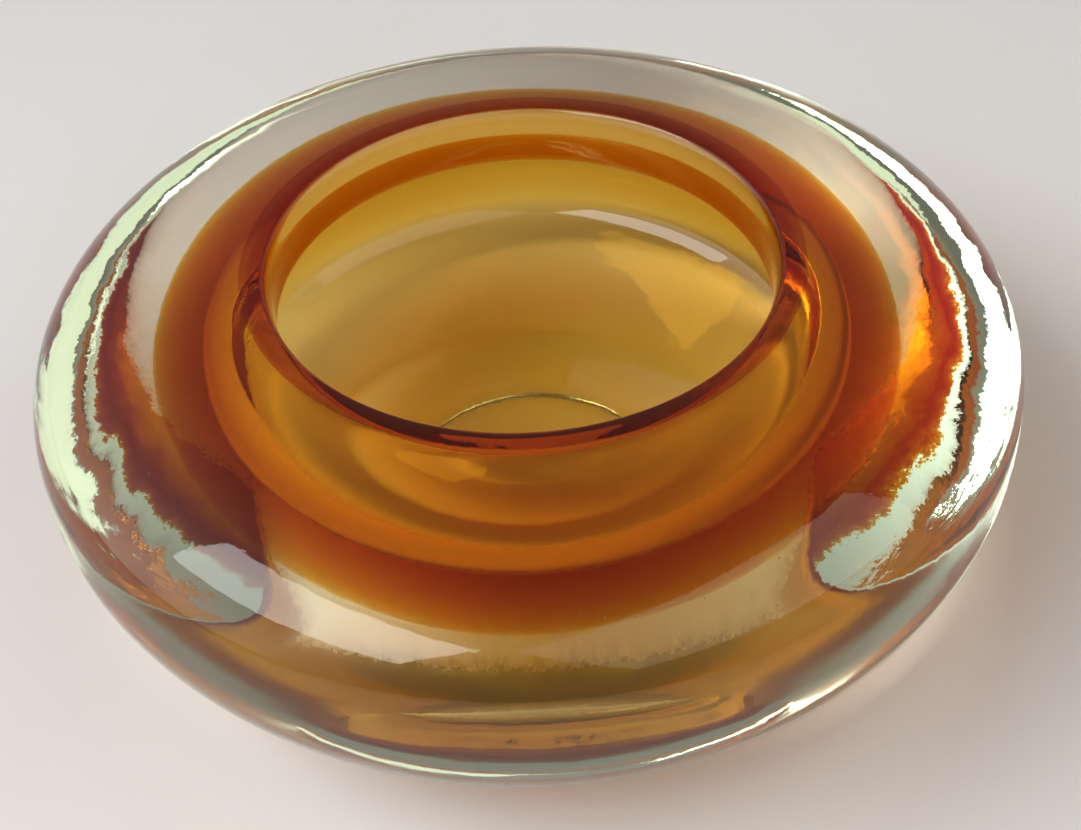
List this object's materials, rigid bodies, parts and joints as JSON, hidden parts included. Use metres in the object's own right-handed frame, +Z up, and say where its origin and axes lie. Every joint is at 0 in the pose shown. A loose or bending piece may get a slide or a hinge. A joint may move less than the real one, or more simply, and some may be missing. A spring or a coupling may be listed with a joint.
{
  "type": "cased glass bowl",
  "caption": "Low, heavy art glass bowl: a thick rounded clear casing fused over an amber inner layer, with a flat cut rim and a deep undercut well.",
  "frame": {"origin": "centre of the flat ground base, in the plane it rests on", "axes": "+Z up along the bowl's turning axis, out of the mouth; the bowl is the same all the way round, so +X and +Y are any two square directions"},
  "size_m": [0.15, 0.15, 0.0583],
  "materials": {
    "clear_glass": "polished, very faint green tint",
    "amber_glass": "polished, transparent amber"
  },
  "bodies": {
    "root": {"clear_casing": "clear_glass", "amber_layer": "amber_glass"}
  },
  "joints": []
}
